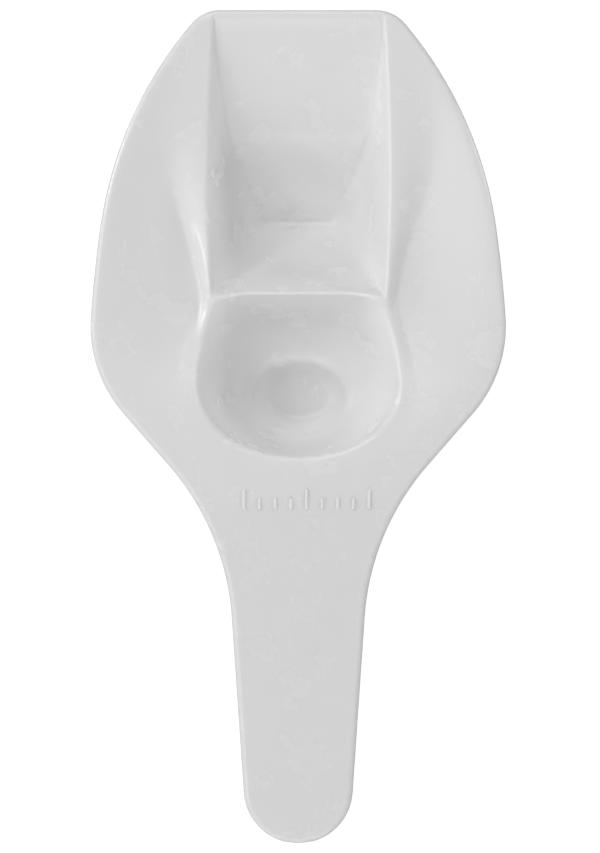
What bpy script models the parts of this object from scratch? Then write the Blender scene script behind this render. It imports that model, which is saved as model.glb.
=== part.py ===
"""Slipper bedpan with a long paddle handle: a moulded shell, and the cover that closes its hollow handle.

Plan coordinates are x (to the right) and s (back from the front lip, along the centre line). Depths are
measured down from the flat top of the rim. In world space the front lip points to +Y and the handle to -Y,
+Z is up, and the origin is on the table under the middle of the pan.
"""

import math

import bmesh
import bpy
import numpy as np

MM = 0.001

# Outline of the rim, one half, walked from the middle of the front lip to the end of the handle.
FRONT_HALF = 44.6 * MM
CORNER_R, CORNER_TURN = 22.3 * MM, 49.9
SIDE_R, SIDE_TURN = 232.4 * MM, 32.3
WAIST_R, WAIST_TURN = 768 * MM, 3.8
HIP_R, HIP_TURN = 76 * MM, 45.1
SHOULDER = 40.2 * MM
NECK_R = 148 * MM
HANDLE_TAPER = 3.92
HANDLE_SIDE = 101.4 * MM
HANDLE_END_R = 31.2 * MM

# Rim and walls.
WALL = 2.5 * MM
RIM_R = 3 * MM
RIM_FLAT = 4 * MM
FLANGE_BOWL = 9 * MM
FLANGE_HANDLE = 13 * MM
FLANGE_WALL = 2.2 * MM
FLANGE_GROWS = (203 * MM, 280 * MM)
SLOPE_REACH = 3 * MM
EDGE_ROUND = 2.6 * MM

# Seat dish: the two wings and the ground round the basin.
DISH_DEPTH = 10.5 * MM
DISH_REACH = 55 * MM
DISH_START = 2 * MM
DISH_BACK_REACH, DISH_BACK_CURVE = 95 * MM, 1.5
DISH_BACK_R = 147 * MM
DISH_BACK_CENTRE = 117.5 * MM

# Ridges along the channel, and the lip round the basin.
RIDGE_HALF = 52.7 * MM
RIDGE_BOW_R = 1067 * MM
RIDGE_BOW_AT = 92 * MM
RIDGE_END = 158 * MM
RIDGE_FADE = 16 * MM
RIDGE_KEEP, LIP_KEEP = 0.65, 0.3
FLANK_FRONT, FLANK_PINCH, FLANK_BACK = 34 * MM, 7 * MM, 12 * MM
FLANK_NARROWS, FLANK_PINCHED, FLANK_WIDENED = 55 * MM, 168 * MM, 205 * MM

# Channel: where each straight run of its floor ends, and how deep it is there before the joins are rounded.
RAMP_START = 4 * MM
CREASE_AT, CREASE_DEPTH, CREASE_ROUND = 69.5 * MM, 27 * MM, 6.5 * MM
SUMP_AT, SUMP_DEPTH, SUMP_ROUND = 119.5 * MM, 64 * MM, 5.5 * MM
CREST_AT, CREST_DEPTH = 163 * MM, 7 * MM
KEEL_CLEAR, KEEL_SAMPLES = 0.1 * MM, 500
CHANNEL_WALL_SLOPE = 3
FILLET_FRONT, FILLET_BACK, FILLET_LEAST = 0.45, 0.9, 0.5 * MM

# Basin: a bowl round an elliptical foot recess.
BASIN_WIDENS = 8.2 * MM
BASIN_WIDEST = 215.5 * MM
BASIN_BACK = 42.5 * MM
LEAST_LEVEL = 0.05
BOWL_DEPTH = 51 * MM
BOWL_CURVE = 1.7
BOWL_CORNER, BOWL_LEAST = 24 * MM, -2
CREST_FADE = 21 * MM
FOOT_AT = 222 * MM
FOOT_HALF_X, FOOT_HALF_S = 29 * MM, 21.1 * MM
FOOT_STEP = SUMP_DEPTH - BOWL_DEPTH
FOOT_WALL = 0.45

# Cover of the hollow handle.
GAP = 0.8 * MM
COVER_FRONT = 286 * MM
COVER_WALL = 1.8 * MM
COVER_DRAFT = 0.4 * MM
COVER_CROWN = 2.5 * MM
COVER_CROWN_FADE = 30 * MM
COVER_END_HALF = 5 * MM

TOP = SUMP_DEPTH + WALL

# Mesh density: spots are (width, gain) of the closer rows round a feature.
OUTLINE_STEP = 0.5 * MM
CHUNK = 4000
GRID_OFFSET = 6 * MM
RIM_RING = 4.5 * MM
FRONT_CORNER, END_CORNER = math.radians(25), math.radians(135)
FRONT_BLEND, END_BLEND = 16 * MM, 45 * MM
CORNER_SPOT, SUMP_SPOT, CREST_SPOT = (6 * MM, 1.5), (8 * MM, 1.2), (7 * MM, 3)
LIP_SPOT, END_SPOT = (14 * MM, 1.2), (16 * MM, 4)
HANDLE_DENSITY = 0.4
SPREAD_SAMPLES = 2000
GUIDE_SHARE, GUIDE_ROUND = 0.8, 6 * MM
SIDE_ROWS = 64
INNER_COLUMNS, OUTER_COLUMNS = 8, 6
OUTER_SPACING = 1.4
COVER_ROWS, COVER_COLUMNS = 22, 6
COVER_SPACING = 1.8
COVER_LEAD = 5 * MM
SHARP_ANGLE = 50

# Finish.
SHELL_WHITE, SHELL_ROUGHNESS = (0.80, 0.80, 0.79), 0.28
COVER_WHITE, COVER_ROUGHNESS = (0.78, 0.78, 0.77), 0.35


def smooth_min(a, b, reach):
    """The smaller of a and b, with the corner between them rounded over reach."""
    h = np.clip(0.5 + 0.5 * (b - a) / reach, 0, 1)
    return b + (a - b) * h - reach * h * (1 - h)


def smooth_max(a, b, reach):
    return -smooth_min(-a, -b, reach)


def ease(t):
    t = np.clip(t, 0, 1)
    return t * t * (3 - 2 * t)


def bend(t, width):
    """0 well before t = 0 and t well after it, with the corner rounded over width."""
    return 0.5 * (t + np.sqrt(t * t + width * width))


def walk_outline(step):
    """Points and inward normals along the right half of the outline, about step apart."""
    turned = math.radians(CORNER_TURN + SIDE_TURN + WAIST_TURN + HIP_TURN)
    handle = math.pi / 2 + math.radians(HANDLE_TAPER)
    runs = [
        (FRONT_HALF, 0),
        (CORNER_R * math.radians(CORNER_TURN), math.radians(CORNER_TURN)),
        (SIDE_R * math.radians(SIDE_TURN), math.radians(SIDE_TURN)),
        (WAIST_R * math.radians(WAIST_TURN), math.radians(WAIST_TURN)),
        (HIP_R * math.radians(HIP_TURN), math.radians(HIP_TURN)),
        (SHOULDER, 0),
        (NECK_R * (turned - handle), handle - turned),
        (HANDLE_SIDE, 0),
        (HANDLE_END_R * (math.pi - handle), math.pi - handle),
    ]
    x, s, heading, points, normals = 0.0, 0.0, 0.0, [], []
    for length, turn in runs:
        count = math.ceil(length / step)
        for _ in range(count):
            points.append((x, s))
            normals.append((-math.sin(heading), math.cos(heading)))
            chord = heading + turn / count / 2
            x += length / count * math.cos(chord)
            s += length / count * math.sin(chord)
            heading += turn / count
    points.append((0.0, s))
    normals.append((0.0, -1.0))
    return np.array(points), np.array(normals)


OUTLINE, NORMALS = walk_outline(OUTLINE_STEP)
LENGTH = OUTLINE[-1, 1]


def edge_distance(x, s):
    """Distance in plan from each point to the outline."""
    shape = np.shape(x)
    x, s = np.abs(np.ravel(x)), np.ravel(s)
    out = np.empty(len(x))
    for i in range(0, len(x), CHUNK):
        dx = x[i : i + CHUNK, None] - OUTLINE[None, :, 0]
        ds = s[i : i + CHUNK, None] - OUTLINE[None, :, 1]
        out[i : i + CHUNK] = np.sqrt((dx * dx + ds * ds).min(1))
    return out.reshape(shape)


def pocket_half(s):
    """Half the width between the ridges, and behind them between the sides of the basin's lip."""
    ridge = RIDGE_HALF - (np.minimum(s, CREST_AT) - RIDGE_BOW_AT) ** 2 / (2 * RIDGE_BOW_R)
    return ridge + BASIN_WIDENS * ease((s - CREST_AT) / (BASIN_WIDEST - CREST_AT))


def basin_level(x, s):
    """0 at the middle of the basin and 1 on its lip, also past the lip."""
    behind = np.maximum(s - BASIN_WIDEST, 0)
    return np.hypot(x / pocket_half(s), behind / BASIN_BACK)


def outside_pockets(x, s):
    """Distance in plan outside the channel and the basin, negative inside them."""
    level = np.maximum(basin_level(x, s), LEAST_LEVEL)
    behind = np.hypot(x, np.maximum(s - BASIN_WIDEST, 0)) * (1 - 1 / level)
    return np.where(s < BASIN_WIDEST, np.abs(x) - pocket_half(s), behind)


def dish_depth(x, s, edge):
    """The seat dish alone: it falls from the rim, and rises to the neck on a wide arc."""
    side = np.clip(bend(edge - RIM_FLAT, DISH_START) / DISH_REACH, 0, 1)
    from_arc = DISH_BACK_R - np.hypot(x, s - DISH_BACK_CENTRE)
    back = np.clip(bend(from_arc, DISH_START) / DISH_BACK_REACH, 0, 1)
    return DISH_DEPTH * (1 - (1 - side) ** 2) * (1 - (1 - back) ** DISH_BACK_CURVE)


def lip_keep(s):
    """How much of the dish's depth the ridges and the basin's lip stand up from."""
    return RIDGE_KEEP + (LIP_KEEP - RIDGE_KEEP) * ease((s - RIDGE_END) / RIDGE_FADE)


def seat_depth(x, s, dish, outside):
    """The dish with its rise to the ridges and to the basin's lip."""
    narrowing = ease((s - FLANK_NARROWS) / (FLANK_PINCHED - FLANK_NARROWS))
    widening = ease((s - FLANK_PINCHED) / (FLANK_WIDENED - FLANK_PINCHED))
    flank = FLANK_FRONT + (FLANK_PINCH - FLANK_FRONT) * narrowing + (FLANK_BACK - FLANK_PINCH) * widening
    rise = np.clip(outside / flank, 0, 1)
    return dish * (1 - lip_keep(s) * (1 - rise**2) ** 2)


def channel_run(s):
    """Floor of the channel along the centre line, as three straight runs with rounded joins."""
    first = CREASE_DEPTH / (CREASE_AT - RAMP_START)
    second = (SUMP_DEPTH - CREASE_DEPTH) / (SUMP_AT - CREASE_AT)
    third = (CREST_DEPTH - SUMP_DEPTH) / (CREST_AT - SUMP_AT)
    run = first * (s - RAMP_START) + (second - first) * bend(s - CREASE_AT, CREASE_ROUND)
    return run + (third - second) * bend(s - SUMP_AT, SUMP_ROUND)


KEEL_SCALE = (SUMP_DEPTH - KEEL_CLEAR) / channel_run(np.linspace(CREASE_AT, CREST_AT, KEEL_SAMPLES)).max()


def channel_depth(lip, outside, s):
    floor = channel_run(s) * KEEL_SCALE
    wall = lip - CHANNEL_WALL_SLOPE * outside
    fillet = FILLET_FRONT + (FILLET_BACK - FILLET_FRONT) * ease((s - CREASE_AT) / (CREST_AT - CREASE_AT))
    return smooth_min(wall, floor, fillet * np.maximum(floor, 0) + FILLET_LEAST)


def basin_depth(x, s, lip, outside):
    """The bowl between the basin's lip and its foot recess, and the recess."""
    crest_lip = DISH_DEPTH * (1 - lip_keep(CREST_AT))
    crest = channel_depth(crest_lip, outside, CREST_AT + 0 * s)
    start = lip + (crest - crest_lip) * (1 - ease((s - CREST_AT) / CREST_FADE))
    foot = np.hypot(x / FOOT_HALF_X, (s - FOOT_AT) / FOOT_HALF_S)
    from_lip = smooth_min(-outside, s - CREST_AT, BOWL_CORNER)
    from_foot = np.hypot(x, s - FOOT_AT) * (1 - 1 / np.maximum(foot, 1))
    t = np.clip(from_lip / np.maximum(from_lip + from_foot, MM), BOWL_LEAST, 1)
    bowl = 1 - (1 - t) ** BOWL_CURVE
    recess = np.clip((1 - foot) / FOOT_WALL, 0, 1)
    return start + (BOWL_DEPTH - start) * bowl + FOOT_STEP * (1 - (1 - recess) ** 2)


def top_depth(x, s):
    """Depth of the upper surface below the rim, at any point inside the rounded edge."""
    edge = edge_distance(x, s)
    outside = outside_pockets(x, s)
    dish = dish_depth(x, s, edge)
    lip = dish * (1 - lip_keep(s))
    seat = seat_depth(x, s, dish, outside)
    pocket = smooth_max(channel_depth(lip, outside, s), basin_depth(x, s, lip, outside), EDGE_ROUND)
    return np.maximum(smooth_max(seat, pocket, EDGE_ROUND), 0)


def under_depth(x, s):
    """Depth of the lower surface: a wall's thickness square to the upper one, and never below the foot."""
    r = SLOPE_REACH
    across = (top_depth(x + r, s) - top_depth(x - r, s)) / (2 * r)
    along = (top_depth(x, s + r) - top_depth(x, s - r)) / (2 * r)
    return np.minimum(top_depth(x, s) + WALL * np.sqrt(1 + across**2 + along**2), SUMP_DEPTH + WALL)


def flange_depth(s):
    start, end = FLANGE_GROWS
    return FLANGE_BOWL + (FLANGE_HANDLE - FLANGE_BOWL) * ease((s - start) / (end - start))


def spread(low, high, count, spots):
    """count + 1 rising values from low to high, closer together round each (place, width, gain) spot."""
    fine = np.linspace(low, high, SPREAD_SAMPLES)
    density = HANDLE_DENSITY + (1 - HANDLE_DENSITY) * (fine < FLANGE_GROWS[1])
    for place, width, gain in spots:
        density = density + gain * np.exp(-(((fine - place) / width) ** 2))
    total = np.concatenate([[0], np.cumsum((density[1:] + density[:-1]) / 2)])
    return np.interp(np.linspace(0, total[-1], count + 1), total, fine)


def plan_grid():
    """Plan positions of the shell's grid, and where each point of its edge lies along the outline."""
    inner = OUTLINE + GRID_OFFSET * NORMALS
    heading = np.arctan2(-NORMALS[:, 0], NORMALS[:, 1])
    place = np.arange(len(OUTLINE))
    first = int(np.argmax(heading >= FRONT_CORNER))
    last = int(np.nonzero(heading <= END_CORNER)[0][-1])
    side = slice(first, last + 1)
    spots = [
        (inner[first, 1], *CORNER_SPOT),
        (SUMP_AT, *SUMP_SPOT),
        (CREST_AT, *CREST_SPOT),
        (BASIN_WIDEST + BASIN_BACK, *LIP_SPOT),
        (inner[last, 1], *END_SPOT),
    ]
    rows = spread(inner[first, 1], inner[last, 1], SIDE_ROWS, spots)
    width = np.interp(rows, inner[side, 1], inner[side, 0])
    guide = smooth_min(pocket_half(rows), GUIDE_SHARE * width, GUIDE_ROUND)
    inside = np.sin(np.linspace(0, math.pi / 2, INNER_COLUMNS + 1))
    outside = np.linspace(0, 1, OUTER_COLUMNS + 1)[1:] ** OUTER_SPACING
    x = np.hstack([guide[:, None] * inside, guide[:, None] + (width - guide)[:, None] * outside])
    front = np.interp(x[0], inner[: first + 1, 0], inner[: first + 1, 1]) - rows[0]
    end = np.interp(x[-1], inner[last:, 0][::-1], inner[last:, 1][::-1]) - rows[-1]
    near_front = np.clip(1 - (rows - rows[0]) / FRONT_BLEND, 0, 1)[:, None] ** 2
    near_end = np.clip(1 - (rows[-1] - rows) / END_BLEND, 0, 1)[:, None] ** 2
    s = rows[:, None] + front * near_front + end * near_end
    along_front = np.interp(x[0], inner[: first + 1, 0], place[: first + 1])
    along_side = np.interp(rows, inner[side, 1], place[side])
    along_end = np.interp(x[-1], inner[last:, 0][::-1], place[last:][::-1])
    edge = np.concatenate([along_front[:-1], along_side, along_end[:-1][::-1]])
    return np.hstack([-x[:, :0:-1], x]), np.hstack([s[:, :0:-1], s]), edge


def edge_loop(along, offset):
    """Plan points of a closed loop at a distance inside the outline, clockwise from the front middle."""
    place = np.arange(len(OUTLINE))
    right = [
        np.interp(along, place, OUTLINE[:, k]) + offset * np.interp(along, place, NORMALS[:, k])
        for k in (0, 1)
    ]
    x = np.concatenate([right[0], -right[0][-2:0:-1]])
    return x, np.concatenate([right[1], right[1][-2:0:-1]])


def grid_edge(grid):
    """Indices of a grid's edge in the same order as edge_loop."""
    rows, columns = grid.shape
    middle = columns // 2
    return np.concatenate(
        [grid[0, middle:-1], grid[:-1, -1], grid[-1, :0:-1], grid[:0:-1, 0], grid[0, :middle]]
    )


def to_world(x, s, depth):
    return np.stack([x, LENGTH / 2 - s, TOP - depth], axis=-1).reshape(-1, 3)


def grid_faces(grid):
    """Faces of a grid that faces up, and of the same grid one body lower, facing down."""
    corners = (grid[:-1, :-1], grid[:-1, 1:], grid[1:, 1:], grid[1:, :-1])
    a, b, c, d = (corner.ravel() for corner in corners)
    low = grid.size
    return list(zip(a, d, c, b)) + list(zip(a + low, b + low, c + low, d + low))


def shell_mesh():
    x, s, along = plan_grid()
    shape, count = x.shape, x.size
    top = np.arange(count).reshape(shape)
    points = [to_world(x, s, top_depth(x, s)), to_world(x, s, under_depth(x, s))]
    faces = grid_faces(top)
    corner = RIM_R * (1 - math.sqrt(0.5))
    rings = [(RIM_RING, "top"), (RIM_R, "top"), (corner, corner), (0, RIM_R), (0, "flange")]
    rings += [(FLANGE_WALL, "flange"), (FLANGE_WALL, "under")]
    ring, next_index = grid_edge(top), 2 * count
    for offset, level in rings:
        lx, ls = edge_loop(along, offset)
        if level == "top":
            depth = top_depth(lx, ls)
        elif level == "under":
            depth = under_depth(lx, ls)
        elif level == "flange":
            depth = flange_depth(edge_loop(along, 0)[1])
        else:
            depth = level + 0 * lx
        points.append(to_world(lx, ls, depth))
        following = np.arange(next_index, next_index + len(lx))
        next_index += len(lx)
        faces += bridge(ring, following)
        ring = following
    faces += bridge(ring, grid_edge(top) + count)
    return np.vstack(points), faces


def bridge(inner, outer):
    """Faces between two loops of the same length, facing outward from the body."""
    return list(zip(inner, np.roll(inner, -1), np.roll(outer, -1), outer))


def cover_mesh():
    inner = OUTLINE + (FLANGE_WALL + GAP) * NORMALS
    behind = inner[:, 1] > COVER_FRONT - COVER_LEAD
    line = inner[behind]
    end = line[line[:, 0] > COVER_END_HALF][-1, 1]
    wall = [COVER_FRONT, COVER_FRONT + COVER_WALL, COVER_FRONT + COVER_WALL + COVER_DRAFT]
    t = np.linspace(0, 1, COVER_ROWS + 1)[1:]
    rows = np.concatenate([wall, wall[-1] + (end - wall[-1]) * (1 - (1 - t) ** COVER_SPACING)])
    across = np.sin(np.linspace(-math.pi / 2, math.pi / 2, COVER_COLUMNS + 1))
    x = np.interp(rows, line[:, 1], line[:, 0])[:, None] * across
    s = rows[:, None] + 0 * x
    plate = FLANGE_HANDLE - COVER_WALL
    upper = np.where(s < COVER_FRONT + COVER_WALL + COVER_DRAFT / 2, WALL + GAP, plate)
    crown = COVER_CROWN * ease((s - COVER_FRONT) / COVER_CROWN_FADE) * ease((end - s) / COVER_CROWN_FADE)
    lower = FLANGE_HANDLE + crown * (1 - across**2)
    count = x.size
    grid = np.arange(count).reshape(x.shape)
    faces = grid_faces(grid)
    ring = grid_edge(grid)
    faces += bridge(ring, ring + count)
    return np.vstack([to_world(x, s, upper), to_world(x, s, lower)]), faces


def make_object(name, points, faces, material):
    mesh = bpy.data.meshes.new(name)
    mesh.from_pydata(points.tolist(), [], [tuple(int(i) for i in f) for f in faces])
    bm = bmesh.new()
    bm.from_mesh(mesh)
    bmesh.ops.recalc_face_normals(bm, faces=bm.faces)
    bmesh.ops.triangulate(bm, faces=bm.faces)
    bm.to_mesh(mesh)
    bm.free()
    mesh.shade_smooth()
    mesh.set_sharp_from_angle(angle=math.radians(SHARP_ANGLE))
    mesh.materials.append(material)
    obj = bpy.data.objects.new(name, mesh)
    bpy.context.scene.collection.objects.link(obj)
    return obj


def plastic(name, colour, roughness):
    material = bpy.data.materials.new(name)
    material.use_nodes = True
    shader = material.node_tree.nodes["Principled BSDF"]
    shader.inputs["Base Color"].default_value = (*colour, 1)
    shader.inputs["Roughness"].default_value = roughness
    shader.inputs["Metallic"].default_value = 0
    return material


def main():
    for obj in list(bpy.data.objects):
        bpy.data.objects.remove(obj)
    shell_plastic = plastic("white_polypropylene", SHELL_WHITE, SHELL_ROUGHNESS)
    make_object("pan_shell", *shell_mesh(), shell_plastic)
    cover_plastic = plastic("white_polypropylene_cover", COVER_WHITE, COVER_ROUGHNESS)
    make_object("handle_cover", *cover_mesh(), cover_plastic)


main()
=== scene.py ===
"""Looks of the slipper bedpan: its moulded shell, handle cover and measure mark, floor, light and camera.

Plan coordinates are x (to the right) and s (back from the front lip). Depths are measured down from the
flat top of the rim. The front lip points to +Y and the handle to -Y.
"""

import math

import bmesh
import bpy
import numpy as np
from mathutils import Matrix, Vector


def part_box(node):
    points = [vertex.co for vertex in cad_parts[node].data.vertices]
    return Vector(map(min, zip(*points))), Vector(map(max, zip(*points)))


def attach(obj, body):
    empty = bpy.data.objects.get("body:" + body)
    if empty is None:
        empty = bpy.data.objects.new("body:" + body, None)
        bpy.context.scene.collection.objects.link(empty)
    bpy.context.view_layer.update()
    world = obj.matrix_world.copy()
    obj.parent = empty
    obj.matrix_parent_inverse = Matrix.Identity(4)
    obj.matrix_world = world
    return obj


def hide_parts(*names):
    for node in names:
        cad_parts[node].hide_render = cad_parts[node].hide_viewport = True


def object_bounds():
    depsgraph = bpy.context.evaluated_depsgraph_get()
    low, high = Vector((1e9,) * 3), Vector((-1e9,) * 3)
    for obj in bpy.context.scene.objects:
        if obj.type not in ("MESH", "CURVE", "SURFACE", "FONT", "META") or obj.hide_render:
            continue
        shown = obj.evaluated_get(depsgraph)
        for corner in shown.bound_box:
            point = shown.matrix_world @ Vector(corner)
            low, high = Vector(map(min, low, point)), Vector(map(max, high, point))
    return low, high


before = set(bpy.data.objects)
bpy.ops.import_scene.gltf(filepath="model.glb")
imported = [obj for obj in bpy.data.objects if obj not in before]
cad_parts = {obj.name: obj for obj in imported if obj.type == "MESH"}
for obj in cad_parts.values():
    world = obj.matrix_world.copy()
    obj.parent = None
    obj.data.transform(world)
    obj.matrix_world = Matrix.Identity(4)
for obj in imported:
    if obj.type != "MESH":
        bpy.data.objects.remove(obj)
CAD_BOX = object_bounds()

MM = 0.001

# Outline of the rim, one half, walked from the middle of the front lip to the end of the handle.
FRONT_HALF = 44.6 * MM
CORNER_R, CORNER_TURN = 22.3 * MM, 49.9
SIDE_R, SIDE_TURN = 232.4 * MM, 32.3
WAIST_R, WAIST_TURN = 768 * MM, 3.8
HIP_R, HIP_TURN = 76 * MM, 45.1
SHOULDER = 40.2 * MM
NECK_R = 148 * MM
HANDLE_TAPER = 3.92
HANDLE_SIDE = 101.4 * MM
HANDLE_END_R = 31.2 * MM

# Rim and walls.
WALL = 2.5 * MM
RIM_R = 3 * MM
RIM_FLAT = 4 * MM
FLANGE_BOWL = 9 * MM
FLANGE_HANDLE = 13 * MM
FLANGE_WALL = 2.2 * MM
FLANGE_GROWS = (203 * MM, 280 * MM)
SLOPE_REACH = 3 * MM
EDGE_ROUND = 2.6 * MM

# Seat dish: the two wings and the ground round the basin.
DISH_DEPTH = 10.5 * MM
DISH_REACH = 55 * MM
DISH_START = 2 * MM
DISH_BACK_REACH, DISH_BACK_CURVE = 95 * MM, 1.5
DISH_BACK_R = 147 * MM
DISH_BACK_CENTRE = 117.5 * MM

# Ridges along the channel, and the lip round the basin.
RIDGE_HALF = 52.7 * MM
RIDGE_BOW_R = 1067 * MM
RIDGE_BOW_AT = 92 * MM
RIDGE_END = 158 * MM
RIDGE_FADE = 16 * MM
RIDGE_KEEP, LIP_KEEP = 0.65, 0.3
FLANK_FRONT, FLANK_PINCH, FLANK_BACK = 34 * MM, 7 * MM, 12 * MM
FLANK_NARROWS, FLANK_PINCHED, FLANK_WIDENED = 55 * MM, 168 * MM, 205 * MM

# Channel: where each straight run of its floor ends, and how deep it is there.
RAMP_START = 4 * MM
CREASE_AT, CREASE_DEPTH, CREASE_ROUND = 69.5 * MM, 27 * MM, 6.5 * MM
SUMP_AT, SUMP_DEPTH, SUMP_ROUND = 119.5 * MM, 64 * MM, 5.5 * MM
CREST_AT, CREST_DEPTH = 163 * MM, 7 * MM
KEEL_CLEAR, KEEL_SAMPLES = 0.1 * MM, 500
CHANNEL_WALL_SLOPE = 3
FILLET_FRONT, FILLET_BACK, FILLET_LEAST = 0.45, 0.9, 0.5 * MM

# Basin: a bowl round an elliptical foot recess.
BASIN_WIDENS = 8.2 * MM
BASIN_WIDEST = 215.5 * MM
BASIN_BACK = 42.5 * MM
LEAST_LEVEL = 0.05
BOWL_DEPTH = 51 * MM
BOWL_CURVE = 1.7
BOWL_CORNER, BOWL_LEAST = 24 * MM, -2
CREST_FADE = 21 * MM
FOOT_AT = 222 * MM
FOOT_HALF_X, FOOT_HALF_S = 29 * MM, 21.1 * MM
FOOT_STEP = SUMP_DEPTH - BOWL_DEPTH
FOOT_WALL = 0.45

# Cover of the hollow handle.
GAP = 0.8 * MM
COVER_FRONT = 286 * MM
COVER_WALL = 1.8 * MM
COVER_DRAFT = 0.4 * MM
COVER_CROWN = 2.5 * MM
COVER_CROWN_FADE = 30 * MM
COVER_END_HALF = 5 * MM

# Mesh density: spots are (width, gain) of the closer rows round a feature.
OUTLINE_STEP = 0.5 * MM
CHUNK = 4000
GRID_OFFSET = 6 * MM
FRONT_CORNER, END_CORNER = math.radians(25), math.radians(135)
FRONT_BLEND, END_BLEND = 16 * MM, 45 * MM
CORNER_SPOT, SUMP_SPOT, CREST_SPOT = (6 * MM, 0.8), (8 * MM, 0.6), (6 * MM, 2.5)
LIP_SPOT, END_SPOT = (12 * MM, 0.8), (16 * MM, 1.5)
HANDLE_DENSITY = 0.4
SPREAD_SAMPLES = 4000
GUIDE_SHARE, GUIDE_ROUND = 0.8, 6 * MM
SIDE_ROWS = 250
INNER_COLUMNS, OUTER_COLUMNS = 40, 30
INNER_ROUND, OUTER_SPACING = 0.5, 1.5
RIM_RINGS = 6
FLANGE_ROUND, FLANGE_RINGS = 0.6 * MM, 4
COVER_ROWS, COVER_COLUMNS = 120, 40
COVER_SPACING = 1.8
COVER_LEAD = 5 * MM
COVER_BEVEL, BEVEL_STEPS, BEVEL_ANGLE = 0.4 * MM, 3, 50
SHARP_ANGLE = 60

# Measure mark on the neck.
MARK_X, MARK_S = 4.9 * MM, 281.6 * MM
TICK_COUNT, TICK_PITCH, TALL_EVERY = 9, 9 * MM, 4
TICK_TALL, TICK_SHORT = 12 * MM, 7 * MM
TICK_HALF, TICK_RISE, TICK_SINK = 1.1 * MM, 0.5 * MM, 0.5 * MM
TICK_SIDES = 20
# Each tick's rings from its root up: (inset as a share of its half width, height).
TICK_RINGS = [(0, -TICK_SINK), (0, 0), (0.3, 0.8 * TICK_RISE), (0.6, TICK_RISE)]

# Plastic: colours, then the size in metres of each kind of mark and how strongly it shows.
BASE, SHADE = (0.90, 0.90, 0.90), (0.885, 0.887, 0.89)
COVER_BASE, COVER_SHADE = (0.78, 0.78, 0.775), (0.75, 0.752, 0.755)
# The first colour on the next line lightens convex edges: partly wear, partly a painted highlight along the
# crests and ridges.
WORN_AND_HIGHLIGHT, SPECK = (0.93, 0.93, 0.925), (0.80, 0.80, 0.79)
SHELL_ROUGH, COVER_ROUGH, MARK_ROUGH = 0.25, 0.38, 0.28
GLOW, GLOW_REACH = 0.7, 0.003
REFRACTION, SHINE = 1.49, 0.65
CLOUD_SIZE, SPECK_SIZE, PATCH_SIZE = 0.09, 0.0016, 0.012
WORN_AND_HIGHLIGHT_MIX, SPECK_MIX = 0.5, 0.12
SCUFF_SIZE, SCUFF_STRETCH, SCUFF_PATCH = 0.0011, (1, 0.08, 1), 0.03
ROUGH_SIZE, ROUGH_LESS, ROUGH_MORE = 0.02, 0.03, 0.04
SCUFF_ROUGH, WORN_ROUGH = 0.08, 0.12
WAVE_SIZE, WAVE_STRENGTH, WAVE_HEIGHT = 0.014, 0.12, 0.0004
GRAIN_SIZE, GRAIN_STRENGTH, GRAIN_HEIGHT = 0.0005, 0.06, 0.00005

# Floor, camera and light.
FLOOR_HALF, FLOOR_GLOW, FLOOR_GREY = 6, 0.86, (0.4, 0.4, 0.4)
FLOOR_CLEAR, FLOOR_ROUGH = 0.1 * MM, 0.9
SENSOR, LENS = 36, 135
# Height of the picture at the rim, and how far its middle is from the middle of the box.
VIEW_HEIGHT = 0.4902
CENTRE_X, CENTRE_Y = 1.03 * MM, 0.1 * MM
AMBIENT = 0.04
LIGHT_REACH = 5
# Softboxes: name, angle from +X towards +Y, elevation, width in metres, power in watts.
LIGHTS = [
    ("key_left", 160, 43, 0.8, 34),
    ("key_top", 108, 43, 2.6, 42),
    ("high_top", 90, 62, 2.2, 36),
    ("high_left", 200, 60, 2.8, 24),
    ("high_near", 275, 62, 1.4, 12),
    ("near_left", 247, 45, 1.3, 17),
    ("near_right", 292, 45, 1.3, 13),
    ("top_right", 15, 45, 1.6, 14),
    ("side_left", 180, 28, 0.6, 18),
    ("side_near", 270, 28, 1.3, 10),
    ("low_top_left", 157, 12, 1.3, 45),
    ("low_top_right", 22, 12, 1.3, 55),
    ("low_near_left", 247, 12, 1.3, 30),
    ("low_near_right", 292, 12, 1.3, 30),
]


def smooth_min(a, b, reach):
    """The smaller of a and b, with the corner between them rounded over reach."""
    h = np.clip(0.5 + 0.5 * (b - a) / reach, 0, 1)
    return b + (a - b) * h - reach * h * (1 - h)


def smooth_max(a, b, reach):
    return -smooth_min(-a, -b, reach)


def ease(t):
    t = np.clip(t, 0, 1)
    return t * t * (3 - 2 * t)


def bend(t, width):
    """0 well before t = 0 and t well after it, with the corner rounded over width."""
    return 0.5 * (t + np.sqrt(t * t + width * width))


def walk_outline(step):
    """Points and inward normals along the right half of the outline, about step apart."""
    turned = math.radians(CORNER_TURN + SIDE_TURN + WAIST_TURN + HIP_TURN)
    handle = math.pi / 2 + math.radians(HANDLE_TAPER)
    runs = [
        (FRONT_HALF, 0),
        (CORNER_R * math.radians(CORNER_TURN), math.radians(CORNER_TURN)),
        (SIDE_R * math.radians(SIDE_TURN), math.radians(SIDE_TURN)),
        (WAIST_R * math.radians(WAIST_TURN), math.radians(WAIST_TURN)),
        (HIP_R * math.radians(HIP_TURN), math.radians(HIP_TURN)),
        (SHOULDER, 0),
        (NECK_R * (turned - handle), handle - turned),
        (HANDLE_SIDE, 0),
        (HANDLE_END_R * (math.pi - handle), math.pi - handle),
    ]
    x, s, heading, points, normals = 0.0, 0.0, 0.0, [], []
    for length, turn in runs:
        count = math.ceil(length / step)
        for _ in range(count):
            points.append((x, s))
            normals.append((-math.sin(heading), math.cos(heading)))
            chord = heading + turn / count / 2
            x += length / count * math.cos(chord)
            s += length / count * math.sin(chord)
            heading += turn / count
    points.append((0.0, s))
    normals.append((0.0, -1.0))
    return np.array(points), np.array(normals)


OUTLINE, NORMALS = walk_outline(OUTLINE_STEP)


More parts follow.
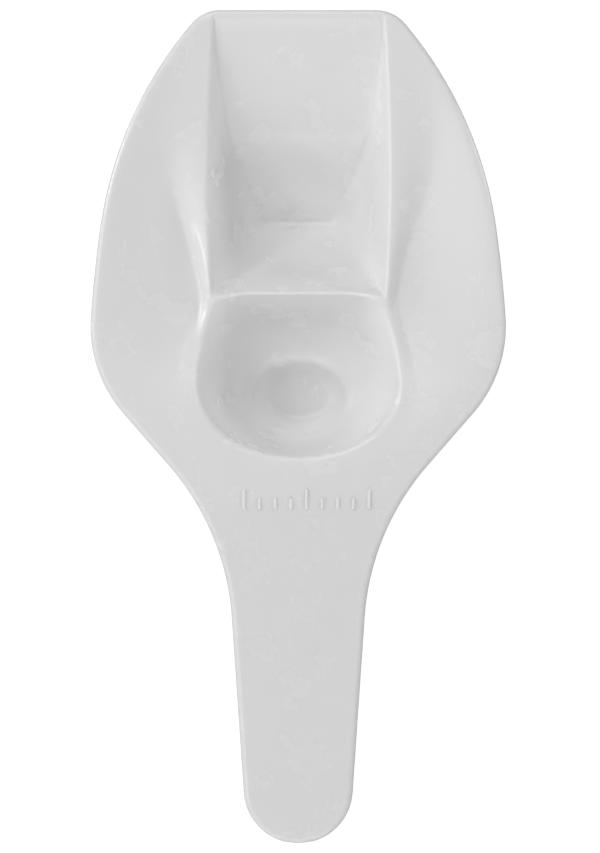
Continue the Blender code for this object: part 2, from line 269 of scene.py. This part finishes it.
def edge_distance(x, s):
    """Distance in plan from each point to the outline."""
    shape = np.shape(x)
    x, s = np.abs(np.ravel(x)), np.ravel(s)
    out = np.empty(len(x))
    for i in range(0, len(x), CHUNK):
        dx = x[i : i + CHUNK, None] - OUTLINE[None, :, 0]
        ds = s[i : i + CHUNK, None] - OUTLINE[None, :, 1]
        out[i : i + CHUNK] = np.sqrt((dx * dx + ds * ds).min(1))
    return out.reshape(shape)


def pocket_half(s):
    """Half the width between the ridges, and behind them between the sides of the basin's lip."""
    ridge = RIDGE_HALF - (np.minimum(s, CREST_AT) - RIDGE_BOW_AT) ** 2 / (2 * RIDGE_BOW_R)
    return ridge + BASIN_WIDENS * ease((s - CREST_AT) / (BASIN_WIDEST - CREST_AT))


def basin_level(x, s):
    """0 at the middle of the basin and 1 on its lip, also past the lip."""
    behind = np.maximum(s - BASIN_WIDEST, 0)
    return np.hypot(x / pocket_half(s), behind / BASIN_BACK)


def outside_pockets(x, s):
    """Distance in plan outside the channel and the basin, negative inside them."""
    level = np.maximum(basin_level(x, s), LEAST_LEVEL)
    behind = np.hypot(x, np.maximum(s - BASIN_WIDEST, 0)) * (1 - 1 / level)
    return np.where(s < BASIN_WIDEST, np.abs(x) - pocket_half(s), behind)


def dish_depth(x, s, edge):
    """The seat dish alone: it falls from the rim, and rises to the neck on a wide arc."""
    side = np.clip(bend(edge - RIM_FLAT, DISH_START) / DISH_REACH, 0, 1)
    from_arc = DISH_BACK_R - np.hypot(x, s - DISH_BACK_CENTRE)
    back = np.clip(bend(from_arc, DISH_START) / DISH_BACK_REACH, 0, 1)
    return DISH_DEPTH * (1 - (1 - side) ** 2) * (1 - (1 - back) ** DISH_BACK_CURVE)


def lip_keep(s):
    """How much of the dish's depth the ridges and the basin's lip stand up from."""
    return RIDGE_KEEP + (LIP_KEEP - RIDGE_KEEP) * ease((s - RIDGE_END) / RIDGE_FADE)


def seat_depth(x, s, dish, outside):
    """The dish with its rise to the ridges and to the basin's lip."""
    narrowing = ease((s - FLANK_NARROWS) / (FLANK_PINCHED - FLANK_NARROWS))
    widening = ease((s - FLANK_PINCHED) / (FLANK_WIDENED - FLANK_PINCHED))
    flank = FLANK_FRONT + (FLANK_PINCH - FLANK_FRONT) * narrowing + (FLANK_BACK - FLANK_PINCH) * widening
    rise = np.clip(outside / flank, 0, 1)
    return dish * (1 - lip_keep(s) * (1 - rise**2) ** 2)


def channel_run(s):
    """Floor of the channel along the centre line, as three straight runs with rounded joins."""
    first = CREASE_DEPTH / (CREASE_AT - RAMP_START)
    second = (SUMP_DEPTH - CREASE_DEPTH) / (SUMP_AT - CREASE_AT)
    third = (CREST_DEPTH - SUMP_DEPTH) / (CREST_AT - SUMP_AT)
    run = first * (s - RAMP_START) + (second - first) * bend(s - CREASE_AT, CREASE_ROUND)
    return run + (third - second) * bend(s - SUMP_AT, SUMP_ROUND)


KEEL_SCALE = (SUMP_DEPTH - KEEL_CLEAR) / channel_run(np.linspace(CREASE_AT, CREST_AT, KEEL_SAMPLES)).max()


def channel_depth(lip, outside, s):
    floor = channel_run(s) * KEEL_SCALE
    wall = lip - CHANNEL_WALL_SLOPE * outside
    fillet = FILLET_FRONT + (FILLET_BACK - FILLET_FRONT) * ease((s - CREASE_AT) / (CREST_AT - CREASE_AT))
    return smooth_min(wall, floor, fillet * np.maximum(floor, 0) + FILLET_LEAST)


def basin_depth(x, s, lip, outside):
    """The bowl between the basin's lip and its foot recess, and the recess."""
    crest_lip = DISH_DEPTH * (1 - lip_keep(CREST_AT))
    crest = channel_depth(crest_lip, outside, CREST_AT + 0 * s)
    start = lip + (crest - crest_lip) * (1 - ease((s - CREST_AT) / CREST_FADE))
    foot = np.hypot(x / FOOT_HALF_X, (s - FOOT_AT) / FOOT_HALF_S)
    from_lip = smooth_min(-outside, s - CREST_AT, BOWL_CORNER)
    from_foot = np.hypot(x, s - FOOT_AT) * (1 - 1 / np.maximum(foot, 1))
    t = np.clip(from_lip / np.maximum(from_lip + from_foot, MM), BOWL_LEAST, 1)
    bowl = 1 - (1 - t) ** BOWL_CURVE
    recess = np.clip((1 - foot) / FOOT_WALL, 0, 1)
    return start + (BOWL_DEPTH - start) * bowl + FOOT_STEP * (1 - (1 - recess) ** 2)


def top_depth(x, s):
    """Depth of the upper surface below the rim, at any point inside the rounded edge."""
    edge = edge_distance(x, s)
    outside = outside_pockets(x, s)
    dish = dish_depth(x, s, edge)
    lip = dish * (1 - lip_keep(s))
    seat = seat_depth(x, s, dish, outside)
    pocket = smooth_max(channel_depth(lip, outside, s), basin_depth(x, s, lip, outside), EDGE_ROUND)
    return np.maximum(smooth_max(seat, pocket, EDGE_ROUND), 0)


def under_depth(x, s):
    """Depth of the lower surface: a wall's thickness square to the upper one, and never below the foot."""
    r = SLOPE_REACH
    across = (top_depth(x + r, s) - top_depth(x - r, s)) / (2 * r)
    along = (top_depth(x, s + r) - top_depth(x, s - r)) / (2 * r)
    return np.minimum(top_depth(x, s) + WALL * np.sqrt(1 + across**2 + along**2), SUMP_DEPTH + WALL)


def flange_depth(s):
    start, end = FLANGE_GROWS
    return FLANGE_BOWL + (FLANGE_HANDLE - FLANGE_BOWL) * ease((s - start) / (end - start))


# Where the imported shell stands.
SHELL_LOW, SHELL_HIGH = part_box("pan_shell")
FRONT_Y = SHELL_HIGH[1]
RIM_Z = SHELL_HIGH[2]
FLOOR_Z = min(SHELL_LOW[2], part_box("handle_cover")[0][2])


def to_world(x, s, depth):
    return np.stack([x, FRONT_Y - s, RIM_Z - depth], axis=-1).reshape(-1, 3)


def spread(low, high, count, spots):
    """count + 1 rising values from low to high, closer together round each (place, width, gain) spot."""
    fine = np.linspace(low, high, SPREAD_SAMPLES)
    density = HANDLE_DENSITY + (1 - HANDLE_DENSITY) * (fine < FLANGE_GROWS[1])
    for place, width, gain in spots:
        density = density + gain * np.exp(-(((fine - place) / width) ** 2))
    total = np.concatenate([[0], np.cumsum((density[1:] + density[:-1]) / 2)])
    return np.interp(np.linspace(0, total[-1], count + 1), total, fine)


def plan_grid():
    """Plan positions of the shell's grid, and where each point of its edge lies along the outline."""
    inner = OUTLINE + GRID_OFFSET * NORMALS
    heading = np.arctan2(-NORMALS[:, 0], NORMALS[:, 1])
    place = np.arange(len(OUTLINE))
    first = int(np.argmax(heading >= FRONT_CORNER))
    last = int(np.nonzero(heading <= END_CORNER)[0][-1])
    side = slice(first, last + 1)
    spots = [
        (inner[first, 1], *CORNER_SPOT),
        (SUMP_AT, *SUMP_SPOT),
        (CREST_AT, *CREST_SPOT),
        (BASIN_WIDEST + BASIN_BACK, *LIP_SPOT),
        (inner[last, 1], *END_SPOT),
    ]
    rows = spread(inner[first, 1], inner[last, 1], SIDE_ROWS, spots)
    width = np.interp(rows, inner[side, 1], inner[side, 0])
    guide = smooth_min(pocket_half(rows), GUIDE_SHARE * width, GUIDE_ROUND)
    even = np.linspace(0, 1, INNER_COLUMNS + 1)
    inside = INNER_ROUND * np.sin(even * math.pi / 2) + (1 - INNER_ROUND) * even
    outside = np.linspace(0, 1, OUTER_COLUMNS + 1)[1:] ** OUTER_SPACING
    x = np.hstack([guide[:, None] * inside, guide[:, None] + (width - guide)[:, None] * outside])
    front = np.interp(x[0], inner[: first + 1, 0], inner[: first + 1, 1]) - rows[0]
    end = np.interp(x[-1], inner[last:, 0][::-1], inner[last:, 1][::-1]) - rows[-1]
    near_front = np.clip(1 - (rows - rows[0]) / FRONT_BLEND, 0, 1)[:, None] ** 2
    near_end = np.clip(1 - (rows[-1] - rows) / END_BLEND, 0, 1)[:, None] ** 2
    s = rows[:, None] + front * near_front + end * near_end
    along_front = np.interp(x[0], inner[: first + 1, 0], place[: first + 1])
    along_side = np.interp(rows, inner[side, 1], place[side])
    along_end = np.interp(x[-1], inner[last:, 0][::-1], place[last:][::-1])
    edge = np.concatenate([along_front[:-1], along_side, along_end[:-1][::-1]])
    return np.hstack([-x[:, :0:-1], x]), np.hstack([s[:, :0:-1], s]), edge


def edge_loop(along, offset):
    """Plan points of a closed loop at a distance inside the outline, clockwise from the front middle."""
    place = np.arange(len(OUTLINE))
    right = [
        np.interp(along, place, OUTLINE[:, k]) + offset * np.interp(along, place, NORMALS[:, k])
        for k in (0, 1)
    ]
    x = np.concatenate([right[0], -right[0][-2:0:-1]])
    return x, np.concatenate([right[1], right[1][-2:0:-1]])


def grid_edge(grid):
    """Indices of a grid's edge in the same order as edge_loop."""
    middle = grid.shape[1] // 2
    return np.concatenate(
        [grid[0, middle:-1], grid[:-1, -1], grid[-1, :0:-1], grid[:0:-1, 0], grid[0, :middle]]
    )


def grid_faces(grid):
    """Faces of a grid that faces up, and of the same grid one body lower, facing down."""
    corners = (grid[:-1, :-1], grid[:-1, 1:], grid[1:, 1:], grid[1:, :-1])
    a, b, c, d = (corner.ravel() for corner in corners)
    low = grid.size
    return list(zip(a, d, c, b)) + list(zip(a + low, b + low, c + low, d + low))


def bridge(inner, outer):
    """Faces between two loops of the same length, facing outward from the body."""
    return list(zip(inner, np.roll(inner, -1), np.roll(outer, -1), outer))


def rim_profile(along):
    """(offset inside the outline, depth) of each ring, from the grid's edge over the rim to the flange."""
    bottom = flange_depth(edge_loop(along, 0)[1])
    rings = []
    for offset in np.linspace(GRID_OFFSET, RIM_R, RIM_RINGS + 1)[1:]:
        rings.append((offset, top_depth(*edge_loop(along, offset))))
    for turn in np.linspace(0, math.pi / 2, RIM_RINGS + 1)[1:]:
        rings.append((RIM_R * (1 - math.sin(turn)), RIM_R * (1 - math.cos(turn)) + 0 * bottom))
    r = FLANGE_ROUND
    for centre, start in ((r, 0), (FLANGE_WALL - r, math.pi / 2)):
        for turn in start + np.linspace(0, math.pi / 2, FLANGE_RINGS):
            rings.append((centre - r * math.cos(turn), bottom - r * (1 - math.sin(turn))))
    rings.append((FLANGE_WALL, under_depth(*edge_loop(along, FLANGE_WALL))))
    return rings


def shell_mesh():
    x, s, along = plan_grid()
    count = x.size
    top = np.arange(count).reshape(x.shape)
    points = [to_world(x, s, top_depth(x, s)), to_world(x, s, under_depth(x, s))]
    faces = grid_faces(top)
    ring, next_index = grid_edge(top), 2 * count
    for offset, depth in rim_profile(along):
        lx, ls = edge_loop(along, offset)
        points.append(to_world(lx, ls, depth))
        following = np.arange(next_index, next_index + len(lx))
        next_index += len(lx)
        faces += bridge(ring, following)
        ring = following
    faces += bridge(ring, grid_edge(top) + count)
    return np.vstack(points), faces


def cover_mesh():
    inner = OUTLINE + (FLANGE_WALL + GAP) * NORMALS
    line = inner[inner[:, 1] > COVER_FRONT - COVER_LEAD]
    end = line[line[:, 0] > COVER_END_HALF][-1, 1]
    wall = [COVER_FRONT, COVER_FRONT + COVER_WALL, COVER_FRONT + COVER_WALL + COVER_DRAFT]
    t = np.linspace(0, 1, COVER_ROWS + 1)[1:]
    rows = np.concatenate([wall, wall[-1] + (end - wall[-1]) * (1 - (1 - t) ** COVER_SPACING)])
    across = np.sin(np.linspace(-math.pi / 2, math.pi / 2, COVER_COLUMNS + 1))
    x = np.interp(rows, line[:, 1], line[:, 0])[:, None] * across
    s = rows[:, None] + 0 * x
    plate = FLANGE_HANDLE - COVER_WALL
    upper = np.where(s < COVER_FRONT + COVER_WALL + COVER_DRAFT / 2, WALL + GAP, plate)
    crown = COVER_CROWN * ease((s - COVER_FRONT) / COVER_CROWN_FADE) * ease((end - s) / COVER_CROWN_FADE)
    lower = FLANGE_HANDLE + crown * (1 - across**2)
    grid = np.arange(x.size).reshape(x.shape)
    ring = grid_edge(grid)
    faces = grid_faces(grid) + bridge(ring, ring + x.size)
    return np.vstack([to_world(x, s, upper), to_world(x, s, lower)]), faces


def tick_mesh():
    """A row of short raised bars across the neck, every fourth one taller, in place of lettering."""
    points, faces = [], []
    turns = np.linspace(0, 2 * math.pi, TICK_SIDES, endpoint=False)
    for i in range(TICK_COUNT):
        x = MARK_X + (i - (TICK_COUNT - 1) / 2) * TICK_PITCH
        half = (TICK_TALL if i % TALL_EVERY == 0 else TICK_SHORT) / 2
        middle = MARK_S + TICK_TALL / 2 - half
        first = len(points)
        for inset, height in TICK_RINGS:
            r = TICK_HALF * (1 - inset)
            for turn in turns:
                stretch = half - TICK_HALF if math.sin(turn) > 0 else TICK_HALF - half
                points.append((x + r * math.cos(turn), middle + stretch + r * math.sin(turn), height))
        for ring in range(len(TICK_RINGS) - 1):
            low = first + ring * TICK_SIDES
            for k in range(TICK_SIDES):
                n = (k + 1) % TICK_SIDES
                faces.append((low + k, low + n, low + n + TICK_SIDES, low + k + TICK_SIDES))
        faces.append(tuple(first + k for k in range(TICK_SIDES)))
        last = len(points) - TICK_SIDES
        faces.append(tuple(last + k for k in range(TICK_SIDES)))
    points = np.array(points)
    depth = top_depth(points[:, 0], points[:, 1]) - points[:, 2]
    return to_world(points[:, 0], points[:, 1], depth), faces


def make_piece(name, points, faces, material, slot):
    mesh = bpy.data.meshes.new(name)
    mesh.from_pydata(points.tolist(), [], [tuple(int(i) for i in f) for f in faces])
    bm = bmesh.new()
    bm.from_mesh(mesh)
    bmesh.ops.recalc_face_normals(bm, faces=bm.faces)
    bm.to_mesh(mesh)
    bm.free()
    mesh.shade_smooth()
    mesh.set_sharp_from_angle(angle=math.radians(SHARP_ANGLE))
    mesh.materials.append(material)
    piece = bpy.data.objects.new(name, mesh)
    bpy.context.scene.collection.objects.link(piece)
    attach(piece, "root")
    return piece


class Nodes:
    """Short calls for building a material's nodes."""

    def __init__(self, name):
        self.material = bpy.data.materials.new(name)
        self.material.use_nodes = True
        self.tree = self.material.node_tree
        self.shader = self.tree.nodes["Principled BSDF"]
        self.place = self.add("ShaderNodeTexCoord").outputs["Object"]

    def add(self, kind, **values):
        node = self.tree.nodes.new(kind)
        for key, value in values.items():
            setattr(node, key, value)
        return node

    def link(self, output, target):
        self.tree.links.new(output, target)

    def noise(self, size, detail, stretch=None):
        """Noise with features about size metres across, optionally stretched along the axes."""
        node = self.add("ShaderNodeTexNoise")
        node.inputs["Scale"].default_value = 1 / size
        node.inputs["Detail"].default_value = detail
        where = self.place
        if stretch:
            mapping = self.add("ShaderNodeMapping")
            mapping.inputs["Scale"].default_value = stretch
            self.link(where, mapping.inputs["Vector"])
            where = mapping.outputs["Vector"]
        self.link(where, node.inputs["Vector"])
        return node.outputs["Fac"]

    def remap(self, value, low, high, to_low, to_high):
        node = self.add("ShaderNodeMapRange")
        ends = {"From Min": low, "From Max": high, "To Min": to_low, "To Max": to_high}
        for slot, number in ends.items():
            node.inputs[slot].default_value = number
        self.link(value, node.inputs["Value"])
        return node.outputs["Result"]

    def maths(self, operation, a, b):
        node = self.add("ShaderNodeMath", operation=operation)
        for slot, value in zip(node.inputs, (a, b)):
            if isinstance(value, (int, float)):
                slot.default_value = value
            else:
                self.link(value, slot)
        return node.outputs[0]

    def mix(self, factor, first, second):
        node = self.add("ShaderNodeMix", data_type="RGBA")
        self.link(factor, node.inputs["Factor"])
        for slot, colour in zip(("A", "B"), (first, second)):
            target = [i for i in node.inputs if i.name == slot and i.type == "RGBA"][0]
            if isinstance(colour, tuple):
                target.default_value = (*colour, 1)
            else:
                self.link(colour, target)
        return [o for o in node.outputs if o.type == "RGBA"][0]

    def bump(self, height, strength, distance, under=None):
        """Bumps of a height map, on top of another bump node's normal where one is given."""
        node = self.add("ShaderNodeBump")
        node.inputs["Strength"].default_value = strength
        node.inputs["Distance"].default_value = distance
        self.link(height, node.inputs["Height"])
        if under:
            self.link(under, node.inputs["Normal"])
        return node.outputs["Normal"]


def moulded_plastic(name, base, shade, rough, glow):
    """Semi-gloss moulded polypropylene: cloudy tint, specks, scuffs, lighter convex edges that are partly
    wear and partly a painted highlight, waves and a fine grain.
    """
    n = Nodes(name)
    cloud = n.remap(n.noise(CLOUD_SIZE, 3), 0.3, 0.7, 0, 1)
    speck = n.remap(n.noise(SPECK_SIZE, 2), 0.7, 0.8, 0, 1)
    edge = n.remap(n.add("ShaderNodeNewGeometry").outputs["Pointiness"], 0.53, 0.6, 0, 1)
    patchy = n.remap(n.noise(PATCH_SIZE, 5), 0.45, 0.6, 0, 1)
    # Convex edges are made lighter: partly wear, partly a painted highlight along the crests and ridges.
    wear_and_highlight = n.maths("MULTIPLY", edge, patchy)
    colour = n.mix(cloud, base, shade)
    colour = n.mix(n.maths("MULTIPLY", wear_and_highlight, WORN_AND_HIGHLIGHT_MIX), colour, WORN_AND_HIGHLIGHT)
    colour = n.mix(n.maths("MULTIPLY", speck, SPECK_MIX), colour, SPECK)
    n.link(colour, n.shader.inputs["Base Color"])
    scuff = n.remap(n.noise(SCUFF_SIZE, 3, SCUFF_STRETCH), 0.6, 0.75, 0, 1)
    scuff = n.maths("MULTIPLY", scuff, n.remap(n.noise(SCUFF_PATCH, 3), 0.45, 0.7, 0, 1))
    roughness = n.remap(n.noise(ROUGH_SIZE, 4), 0.3, 0.7, rough - ROUGH_LESS, rough + ROUGH_MORE)
    roughness = n.maths("ADD", roughness, n.maths("MULTIPLY", scuff, SCUFF_ROUGH))
    roughness = n.maths("ADD", roughness, n.maths("MULTIPLY", wear_and_highlight, WORN_ROUGH))
    n.link(roughness, n.shader.inputs["Roughness"])
    wave = n.bump(n.noise(WAVE_SIZE, 1), WAVE_STRENGTH, WAVE_HEIGHT)
    grain = n.bump(n.noise(GRAIN_SIZE, 2), GRAIN_STRENGTH, GRAIN_HEIGHT, wave)
    n.link(grain, n.shader.inputs["Normal"])
    n.shader.inputs["IOR"].default_value = REFRACTION
    n.shader.inputs["Specular IOR Level"].default_value = SHINE
    n.shader.inputs["Subsurface Weight"].default_value = glow
    n.shader.inputs["Subsurface Radius"].default_value = (1, 1, 1)
    n.shader.inputs["Subsurface Scale"].default_value = GLOW_REACH
    return n.material


def floor_plane():
    material = bpy.data.materials.new("pale_floor")
    material.use_nodes = True
    tree = material.node_tree
    shader = tree.nodes["Principled BSDF"]
    shader.inputs["Base Color"].default_value = (*FLOOR_GREY, 1)
    shader.inputs["Roughness"].default_value = FLOOR_ROUGH
    shader.inputs["Specular IOR Level"].default_value = 0
    seen = tree.nodes.new("ShaderNodeLightPath").outputs["Is Camera Ray"]
    glow = tree.nodes.new("ShaderNodeMath")
    glow.operation = "MULTIPLY"
    glow.inputs[1].default_value = FLOOR_GLOW
    tree.links.new(seen, glow.inputs[0])
    shader.inputs["Emission Color"].default_value = (1, 1, 1, 1)
    tree.links.new(glow.outputs[0], shader.inputs["Emission Strength"])
    mesh = bpy.data.meshes.new("floor")
    h = FLOOR_HALF
    z = FLOOR_Z - FLOOR_CLEAR
    mesh.from_pydata([(-h, -h, z), (h, -h, z), (h, h, z), (-h, h, z)], [], [(0, 1, 2, 3)])
    mesh.materials.append(material)
    floor = bpy.data.objects.new("floor", mesh)
    bpy.context.scene.collection.objects.link(floor)


def studio_world():
    """White to the camera, and a faint even light on everything else."""
    world = bpy.data.worlds.new("studio")
    world.use_nodes = True
    tree = world.node_tree
    background = tree.nodes["Background"]
    background.inputs["Color"].default_value = (1, 1, 1, 1)
    seen = tree.nodes.new("ShaderNodeLightPath").outputs["Is Camera Ray"]
    strength = tree.nodes.new("ShaderNodeMapRange")
    strength.inputs["To Min"].default_value = AMBIENT
    tree.links.new(seen, strength.inputs["Value"])
    tree.links.new(strength.outputs["Result"], background.inputs["Strength"])
    bpy.context.scene.world = world


def softbox(name, azimuth, elevation, width, power):
    data = bpy.data.lights.new(name, "AREA")
    data.shape = "SQUARE"
    data.size = width
    data.energy = power
    light = bpy.data.objects.new(name, data)
    light.visible_camera = False
    turn, rise = math.radians(azimuth), math.radians(elevation)
    aim = Vector((0, 0, RIM_Z))
    where = Vector((math.cos(rise) * math.cos(turn), math.cos(rise) * math.sin(turn), math.sin(rise)))
    light.location = aim + LIGHT_REACH * where
    light.rotation_euler = where.to_track_quat("Z", "Y").to_euler()
    bpy.context.scene.collection.objects.link(light)


def camera():
    data = bpy.data.cameras.new("camera")
    data.type = "PERSP"
    data.sensor_fit = "VERTICAL"
    data.sensor_height = SENSOR
    data.lens = LENS
    obj = bpy.data.objects.new("camera", data)
    distance = VIEW_HEIGHT * LENS / SENSOR
    obj.location = (CENTRE_X, (CAD_BOX[0][1] + CAD_BOX[1][1]) / 2 + CENTRE_Y, RIM_Z + distance)
    bpy.context.scene.collection.objects.link(obj)
    bpy.context.scene.camera = obj


def main():
    # All three plastics carry lighter convex edges, partly wear and partly a painted highlight.
    white = moulded_plastic("white_polypropylene_wear_and_painted_highlight", BASE, SHADE, SHELL_ROUGH, GLOW)
    matt = moulded_plastic("white_polypropylene_cover_wear_and_painted_highlight", COVER_BASE, COVER_SHADE, COVER_ROUGH, GLOW)
    shell = make_piece("fine_pan_shell", *shell_mesh(), white, "shell_plastic")
    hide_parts("pan_shell")
    cover = make_piece("fine_handle_cover", *cover_mesh(), matt, "cover_plastic")
    bevel = cover.modifiers.new("edges", "BEVEL")
    bevel.width = COVER_BEVEL
    bevel.segments = BEVEL_STEPS
    bevel.angle_limit = math.radians(BEVEL_ANGLE)
    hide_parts("handle_cover")
    marked = moulded_plastic("white_polypropylene_mark", BASE, SHADE, MARK_ROUGH, 0)
    make_piece("measure_mark", *tick_mesh(), marked, "shell_plastic")
    floor_plane()
    studio_world()
    for light in LIGHTS:
        softbox(*light)
    camera()
    bpy.context.scene.view_settings.view_transform = "Standard"


main()
